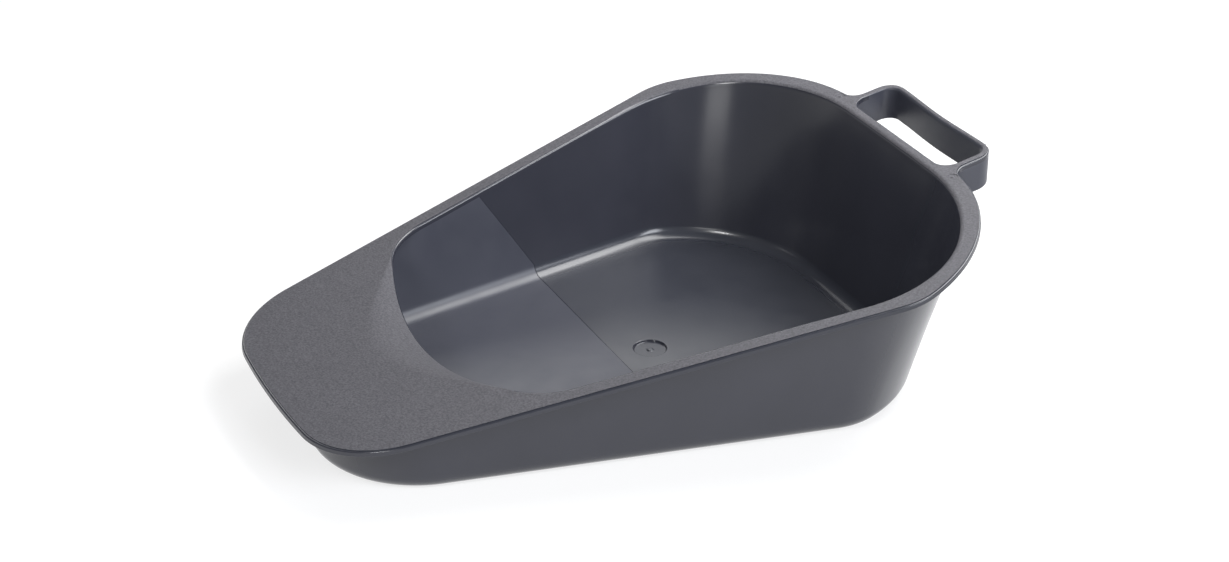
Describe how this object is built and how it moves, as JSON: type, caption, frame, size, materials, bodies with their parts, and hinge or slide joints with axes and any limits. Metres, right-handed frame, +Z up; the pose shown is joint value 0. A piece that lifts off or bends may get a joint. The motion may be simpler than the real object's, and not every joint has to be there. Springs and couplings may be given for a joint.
{
  "type": "fracture bedpan",
  "caption": "One-piece moulded pan with a low dished toe, a rim sloping up to a deep rounded back, and a loop handle; catches and holds liquid.",
  "frame": {"origin": "on the surface that the pan stands on, under the middle of its bounding box", "axes": "+Y from the low toe to the loop handle at the deep end, +X to the right of someone looking from the toe to the handle, +Z up"},
  "size_m": [0.2564, 0.343, 0.0917],
  "materials": {
    "textured_face": "graphite-grey polypropylene with a fine spark-eroded matt texture, on the rim, guard plate and handle",
    "smooth_face": "the same polypropylene from a smooth mould face, satin, on the floor and walls"
  },
  "bodies": {
    "root": {"floor_panel": "smooth_face", "base_bend_front": "smooth_face", "base_bend_rear": "smooth_face", "wall_front": "smooth_face", "wall_rear": "smooth_face", "rim_flange": "textured_face", "guard_plate": "textured_face", "guard_lip": "textured_face", "handle_arm_left": "textured_face", "handle_arm_right": "textured_face", "handle_bar": "textured_face", "gate_vestige": "smooth_face"}
  },
  "joints": []
}
